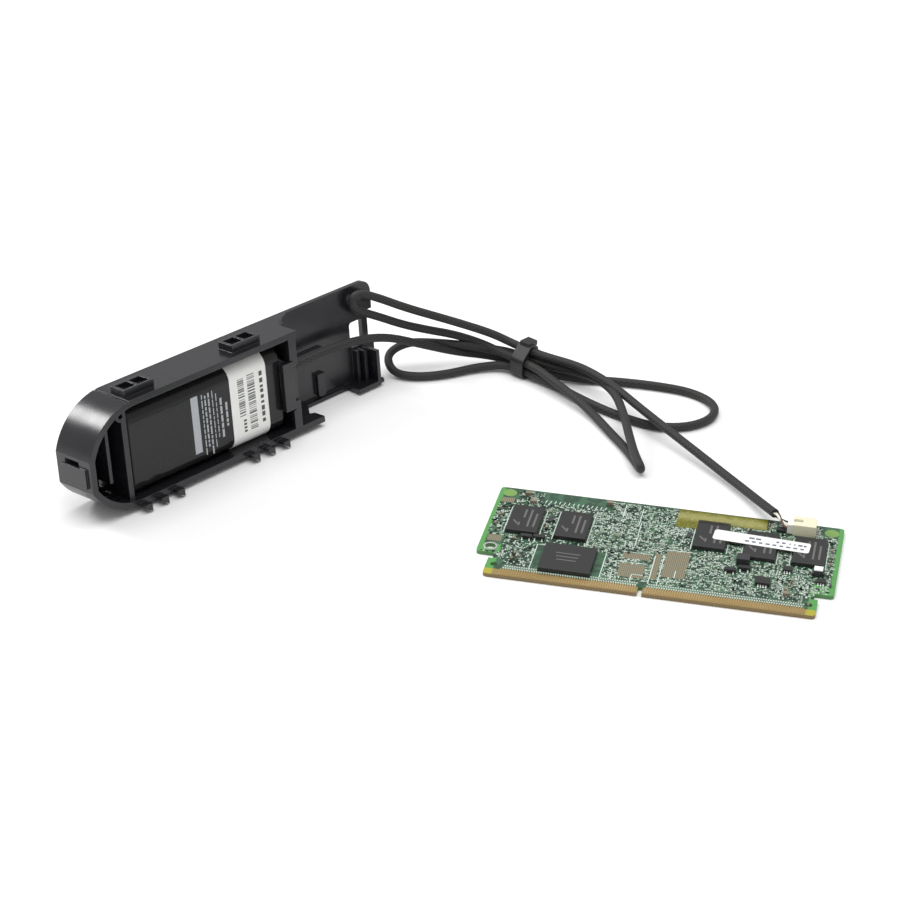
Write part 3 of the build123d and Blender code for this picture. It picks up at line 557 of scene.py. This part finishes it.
# Lead: along the holder, folded through the tie, over to the board
LEAD_POINTS = [
    (4.99, 77.822, 16.549),
    (15.49, 77.822, 16.549),
    (29.5, 77.3, 16.9),
    (44.0, 76.2, 14.6),
    (56.4, 73.0, 8.8),
    (66.6, 68.6, 4.4),
    (74.4, 63.4, 2.5),
    (77.35, 56.4, 2.12),
    (77.35, 46.0, 2.12),
    (82.4, 37.4, 1.4),
    (90.0, 28.0, 1.3),
    (95.8, 18.5, 1.3),
    (99.9, 9.0, 1.3),
    (98.6, -0.6, 1.3),
    (91.4, -5.2, 1.3),
    (82.6, -3.6, 1.3),
    (76.0, 3.0, 1.3),
    (74.0, 13.5, 1.3),
    (74.0, 25.4, 1.3),
    (75.0, 37.4, 1.5),
    (74.65, 46.0, 2.12),
    (74.65, 56.4, 2.12),
    (67.5, 62.0, 1.5),
    (58.2, 65.2, 1.35),
    (50.8, 70.2, 1.35),
    (47.9, 76.4, 1.6),
    (50.4, 81.2, 5.0),
    (56.6, 78.6, 7.6),
    (62.6, 73.2, 7.2),
    (67.6, 66.9, 6.9),
    (73.0, 62.4, 5.6),
    (77.35, 56.4, 4.82),
    (77.35, 46.0, 4.82),
    (81.94, 36.0, 4.4),
    (81.39, 27.43, 5.0),
    (77.67, 18.5, 5.2),
    (69.85, 9.12, 5.0),
    (62.74, 1.44, 4.4),
    (56.56, -5.44, 3.9),
    (52.51, -11.03, 3.4),
    (54.08, -10.06, 1.35),
    (60.01, -0.69, 1.35),
    (64.44, 8.99, 1.35),
    (68.92, 18.87, 1.7),
    (71.24, 27.11, 2.8),
    (73.2, 38.3, 4.1),
    (74.65, 46.0, 4.82),
    (74.65, 56.4, 4.82),
    (72.4, 64.2, 6.8),
    (66.6, 69.8, 9.6),
    (59.4, 73.4, 12.2),
    (52.2, 76.8, 15.2),
    (44.4, 79.4, 19.6),
    (35.7, 81.6, 24.0),
    (38.1, 81.1, 28.4),
    (44.4, 79.2, 25.4),
    (52.6, 75.8, 20.6),
    (60.8, 71.6, 16.6),
    (68.0, 66.2, 13.2),
    (74.2, 61.2, 10.0),
    (77.35, 56.4, 7.52),
    (77.35, 46.0, 7.52),
    (80.9, 35.62, 6.8),
    (80.45, 27.84, 6.6),
    (79.25, 19.87, 6.0),
    (76.46, 9.97, 5.2),
    (73.97, 0.47, 4.5),
    (71.56, -9.15, 3.8),
    (69.32, -18.5, 3.0),
    (66.92, -27.82, 2.3),
    (63.82, -37.45, 2.2),
    (60.41, -45.15, 2.9),
    (57.5, -51.4, 3.7),
]
lead_points = [Vector(point) * MM for point in LEAD_POINTS]
lead = curve("sleeved_lead", lead_points, LEAD_DIAMETER, sleeve)
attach(lead, "root")
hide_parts("lead_sleeve")

# Four wires between the sleeve's end and the plug, where they are 1 mm apart
PLUG_MIDDLE = 39.7
PLUG_FACE = 71.4
PLUG_HEIGHT = 1.5
SLEEVE_PITCH = 0.58
sleeve_way = (lead_points[-1] - lead_points[-2]).normalized()
plug_way = on_board(1, 0) - on_board(0, 0)
aside_way = plug_way - sleeve_way * plug_way.dot(sleeve_way)
aside_way.normalize()
for number, finish in enumerate((wire_brown, wire_white, wire_white, wire_black)):
    aside = 1.5 - number
    start = lead_points[-1] + aside_way * (aside * SLEEVE_PITCH * MM)
    end = on_board(PLUG_FACE, PLUG_MIDDLE - aside, BOARD_TOP + PLUG_HEIGHT)
    run = [start, start + sleeve_way * 0.7 * MM, end - plug_way * 0.9, end]
    wire = curve(f"wire_{number + 1}", run, WIRE_DIAMETER, finish)
    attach(wire, "root")
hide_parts("lead_wires")

# Length of the lead along its middle
line = bpy.data.objects.new("lead_line", lead.data.copy())
line.data.bevel_depth = 0
bpy.context.scene.collection.objects.link(line)
run_mesh = bpy.data.meshes.new_from_object(line)
run_points = [vertex.co.copy() for vertex in run_mesh.vertices]
lead_length = sum((b - a).length for a, b in zip(run_points, run_points[1:]))
bpy.data.objects.remove(line)
print("lead length in millimetres", round(lead_length / MM, 1))
tuple(lead_points[0])


# Print and pads on the board
def raised(level):
    """Places a plate on the board, from a given level up."""
    return lambda u, v, z: on_board(u, v, level + z)


def board_plates(name, spots, thickness, finish, outline=SQUARE):
    """Thin plates on the board itself."""
    top = raised(BOARD_TOP)
    plates(name, spots, top, thickness, finish, outline)


# Rectangles, each (middle, middle, width, height): chips with the five memory chips
# first, spots that stay free of pads, and bare fields
CHIPS = [
    (5.7, 27.2, 8.1, 13.0),
    (18.2, 27.1, 8.1, 13.0),
    (53.0, 30.8, 8.1, 13.0),
    (65.8, 28.9, 8.1, 13.0),
    (78.0, 28.9, 8.1, 13.0),
    (19.6, 10.4, 17.2, 12.8),
    (62.2, 20.7, 3.3, 2.9),
    (59.5, 15.6, 2.9, 2.4),
    (62.9, 17.4, 2.9, 2.4),
    (68.0, 12.0, 3.6, 4.4),
    (73.4, 19.5, 2.2, 3.3),
    (82.0, 15.7, 2.2, 3.1),
    (81.0, 19.7, 2.9, 2.7),
    (70.0, 38.9, 2.4, 2.0),
    (75.8, 39.7, 5.8, 4.8),
    (7.4, 19.2, 2.9, 2.4),
    (10.6, 19.6, 2.9, 2.4),
]
QUIET = [
    (17.0, 40.4, 18.0, 4.6),
    (KEY_MIDDLE, 1.4, 2.4, 4.4),
    (-0.4, 13.3, 5.0, 4.4),
    (-1.0, 41.1, 5.0, 4.0),
    (82.7, 40.7, 5.0, 4.0),
    (-0.6, 37.4, 3.8, 3.0),
    (-0.4, 17.4, 4.2, 3.4),
    (2.0, 5.0, 3.6, 5.2),
    (80.2, 5.0, 3.6, 5.2),
]
FIELDS = [
    (35.9, 17.1, 7.0, 2.8),
    (35.6, 10.1, 6.4, 6.6),
    (46.0, 15.5, 5.8, 13.0),
    (41.2, 13.4, 1.8, 12.6),
]
TAKEN = CHIPS + QUIET + FIELDS


def clear_of(u, v, places, margin):
    """True where a spot lies outside all the given rectangles."""
    for middle_u, middle_v, width, height in places:
        inside_u = abs(u - middle_u) < width / 2 + margin
        inside_v = abs(v - middle_v) < height / 2 + margin
        if inside_u and inside_v:
            return False
    return True


def on_laminate(u, v):
    """True well inside the board's outline."""
    if v < 10.6:
        return 1.2 < u < 80.8 and v > 5.4
    return -2.6 < u < 84.4 and v < 42.9


# Crowd of pads on a loose grid, thinner in patches and at the left
PAD_PITCH = 0.54
PAD_STRAY = 0.14
chance = random.Random(7)
pad_spots, mid_spots, via_spots, gap_spots = [], [], [], []
for row in range(72):
    for column in range(164):
        u = -3 + PAD_PITCH * column + chance.uniform(-PAD_STRAY, PAD_STRAY)
        v = 5.4 + PAD_PITCH * row + chance.uniform(-PAD_STRAY, PAD_STRAY)
        pick = chance.random()
        size = chance.uniform(0.36, 0.84)
        slim = size * chance.uniform(0.4, 0.75)
        long_way = chance.random() < 0.4
        if not on_laminate(u, v) or not clear_of(u, v, CHIPS, 0.3):
            continue
        if not clear_of(u, v, QUIET, 0.1) or not clear_of(u, v, FIELDS, 0.0):
            continue
        width, height = (size, slim) if long_way else (slim, size)
        crowd = 0.84 + 0.16 * math.sin(0.9 * u + 2 * math.sin(0.5 * v))
        if u < 22:
            crowd *= 0.62
        if pick < 0.3 * crowd:
            pad_spots.append((u, v, width, height, 0))
        elif pick < 0.52 * crowd:
            mid_spots.append((u, v, width * 1.3, height * 1.3, 0))
        elif pick < 0.66 * crowd:
            via_spots.append((u, v, 0.3, 0.3, 45))
        elif pick < 0.8:
            gap_spots.append((u, v, width * 1.3, height * 1.3, 0))

# Short tracks
TRACK_WIDTH = 0.14
for _ in range(240):
    u, v = chance.uniform(22, 80), chance.uniform(5.5, 41)
    width, height = chance.uniform(1.0, 3.4), TRACK_WIDTH
    if chance.random() >= 0.45:
        width, height = height, width
    ends = ((u - width / 2, v - height / 2), (u + width / 2, v + height / 2))
    if all(on_laminate(x, y) and clear_of(x, y, TAKEN, 0.2) for x, y in ends):
        mid_spots.append((u, v, width, height, 0))

# Two rows above the contacts, parted at the key
for column in range(128):
    u = 4.6 + 0.6 * column
    if abs(u - KEY_MIDDLE) > 1.2 and u < 78.5:
        pad_spots.append((u, 3.6, 0.38, 0.7, 12))
        pad_spots.append((u + 0.3, 4.6, 0.38, 0.7, -12))

# Each kind has its own thickness, so that plates that overlap don't share a plane
board_plates("board_dark_gaps", gap_spots, INK, dark_gaps)
board_plates("board_mid_pads", mid_spots, 0.018, mid_pads)
board_plates("board_pads", pad_spots, 0.03, pads)
board_plates("board_vias", via_spots, 0.024, silk)
fields = [(u, v, width, height, 0) for u, v, width, height in FIELDS]
board_plates("board_fields", fields, 0.016, tan_field)


def strokes(lines, width):
    """Plates along lines given as (u, v, u, v)."""
    made = []
    for u0, v0, u1, v1 in lines:
        length = math.hypot(u1 - u0, v1 - v0)
        turn = math.degrees(math.atan2(v1 - v0, u1 - u0))
        made.append(((u0 + u1) / 2, (v0 + v1) / 2, length, width, turn))
    return made


silk_lines = [
    (1.1, 20.4, 1.1, 34.2),
    (10.3, 20.4, 10.3, 34.2),
    (13.7, 20.2, 13.7, 34.2),
    (22.7, 20.2, 22.7, 34.2),
    (48.5, 24.0, 48.5, 37.4),
    (57.6, 24.0, 57.6, 29.0),
    (61.3, 22.2, 61.3, 35.6),
    (70.3, 22.2, 70.3, 35.6),
    (73.5, 22.2, 73.5, 35.6),
    (82.5, 22.2, 82.5, 35.6),
    (10.8, 4.2, 10.8, 17.0),
    (28.4, 4.2, 28.4, 17.0),
    (10.8, 17.0, 12.8, 17.0),
    (34.7, 22.0, 34.7, 34.0),
    (29.6, 35.5, 29.6, 42.4),
    (34.2, 33.0, 34.2, 41.0),
    (43.9, 31.0, 47.2, 31.0),
    (32.0, 18.9, 39.6, 18.9),
    (32.2, 13.9, 38.8, 13.9),
    (40.5, 4.8, 40.5, 18.6),
    (42.7, 4.8, 42.7, 18.6),
    (36.0, 8.4, 38.8, 8.4),
    (36.0, 5.0, 36.0, 8.4),
    (43.2, 22.3, 50.4, 22.3),
    (46.4, 9.0, 46.4, 12.6),
    (31.0, 4.8, 31.0, 9.5),
]
for step in range(14):
    u = 8.9 + 1.2 * step
    silk_lines.append((u, 38.2, u + 0.25, 39.5))
board_plates("board_lines", strokes(silk_lines, 0.22), PRINT, silk)
mark_spots = [(-1.0, 41.1, 3.7, 3.7, 0), (82.7, 40.7, 3.7, 3.7, 0)]
board_plates("board_marks", mark_spots, PRINT, mark_green, ROUND)
brown_spots = [(-0.8, 37.3, 3.3, 2.5, 0), (-0.4, 17.5, 3.5, 2.9, 0)]
board_plates("board_brown_pads", brown_spots, PRINT, tan_field)

# Faint bars on the memory chips and the large chip
memory_bars = []
for u, v, _, _ in CHIPS[:5]:
    for across, bottom, top in ((-0.4, 0.2, 4.4), (1.1, -4.2, 4.6), (2.6, -4.0, 2.8)):
        middle = v + (bottom + top) / 2
        memory_bars.append((u + across, middle, 0.55, top - bottom, 0))
    memory_bars.append((u - 2.2, v - 2.4, 0.5, 2.2, 35))
    memory_bars.append((u - 1.2, v - 3.2, 0.5, 1.8, 0))
bridge_bars = []
for step in range(3):
    bridge_bars.append((19.4, 12.2 - 1.6 * step, 6.2 - 0.6 * step, 0.4, 0))
for name, bars, level in (
    ("memory_chip_bars", memory_bars, MEMORY_CHIP_TOP),
    ("bridge_chip_bars", bridge_bars, BRIDGE_CHIP_TOP),
):
    plates(name, bars, raised(level), INK, chip_print)

# Bars on the label over the chips
LABEL_MIDDLE = (65.75, 30.3)
LABEL_TURN = math.radians(-3.5)


def on_label(x, y, z):
    """Point on the chip label, from its middle."""
    u = LABEL_MIDDLE[0] + x * math.cos(LABEL_TURN) - y * math.sin(LABEL_TURN)
    v = LABEL_MIDDLE[1] + x * math.sin(LABEL_TURN) + y * math.cos(LABEL_TURN)
    return on_board(u, v, CHIP_LABEL_TOP + z)


label_places = (-2.6, -0.9, 4.0, 5.5, 7.1, 8.3, 9.7, 10.9)
label_widths = (1.4, 1.3, 0.7, 0.9, 0.3, 0.3, 1.1, 0.7)
label_bars = []
for x, width in zip(label_places, label_widths):
    label_bars.append((x, 0.7, width, 0.8, 0))
for step in range(9):
    label_bars.append((-3.6 + 1.75 * step, -1.0, 1.1 - 0.1 * (step % 3), 0.75, 0))
plates("chip_label_bars", label_bars, on_label, INK, blue_ink)


# Bars on the battery's label and print on the film beside it
def on_label_front(a, h, z):
    """Point on the front of the battery's label."""
    return on_holder(a, h, BATTERY_LABEL_FRONT + z)


def on_film(a, h, z):
    """Point on the front of the battery pack."""
    return on_holder(a, h, PACK_FRONT + z)


battery_bars = []
for left, right, top, bottom in ((53.0, 55.2, 21.4, 10.6), (56.4, 59.0, 21.6, 6.2)):
    height = top
    while height > bottom:
        thick = chance.choice((0.16, 0.26, 0.4))
        battery_bars.append(((left + right) / 2, height, right - left, thick, 0))
        height -= thick + chance.choice((0.2, 0.3, 0.44))
height = 21.4
while height > 6.2:
    tall = chance.choice((0.7, 1.0, 1.3))
    battery_bars.append((61.3, height - tall / 2, 1.1, tall, 0))
    height -= tall + chance.choice((0.4, 0.7))
for step in range(4):
    battery_bars.append((54.6, 9.4 - 1.0 * step, 1.0, 0.6, 0))
plates(
    "battery_label_bars", battery_bars, on_label_front, INK, label_ink
)

# Pale panel and lines of small bars
film_print = [(38.0, 13.9, 2.4, 16.0, 0)]
for a, top, bottom, width in (
    (40.6, 21.6, 6.0, 0.35),
    (41.7, 21.0, 6.4, 0.5),
    (42.9, 21.4, 6.2, 0.5),
    (44.2, 21.6, 5.8, 0.3),
    (45.4, 20.4, 8.0, 0.3),
    (46.9, 18.6, 9.0, 0.7),
    (48.7, 16.8, 10.4, 0.7),
):
    height = top
    while height > bottom:
        tall = chance.uniform(0.7, 2.4)
        film_print.append((a, height - tall / 2, width, tall, 0))
        height -= tall + 0.35
plates("battery_film_bars", film_print, on_film, PRINT, pale_ink)

# Floor and studio light
reach = 3.0
floor_data = bpy.data.meshes.new("floor")
floor_data.from_pydata(
    [(-reach, -reach, 0), (reach, -reach, 0), (reach, reach, 0), (-reach, reach, 0)],
    [],
    [(0, 1, 2, 3)],
)
floor = bpy.data.objects.new("floor", floor_data)
bpy.context.scene.collection.objects.link(floor)
floor_finish = Finish("pale_floor", (0.93, 0.93, 0.93), 0.9, (300, 0.001), 0.01)
floor_data.materials.append(floor_finish.material)

world = bpy.data.worlds.new("studio")
world.use_nodes = True
sky = world.node_tree.nodes["Background"]
sky.inputs["Color"].default_value = (1, 1, 1, 1)
sky.inputs["Strength"].default_value = 0.55
bpy.context.scene.world = world


def softbox(name, location, target, size, power):
    """Square area light turned towards a point."""
    data = bpy.data.lights.new(name, "AREA")
    data.size = size
    data.energy = power
    light = bpy.data.objects.new(name, data)
    light.location = location
    way = Vector(target) - Vector(location)
    light.rotation_euler = way.to_track_quat("-Z", "Y").to_euler()
    bpy.context.scene.collection.objects.link(light)


softbox("overhead_light", (0, 0, 1.5), (0, 0, 0), size=1.7, power=19)
softbox("key_light", (-0.27, 1.05, 0.7), (-0.05, 0.07, 0.02), size=0.34, power=6)
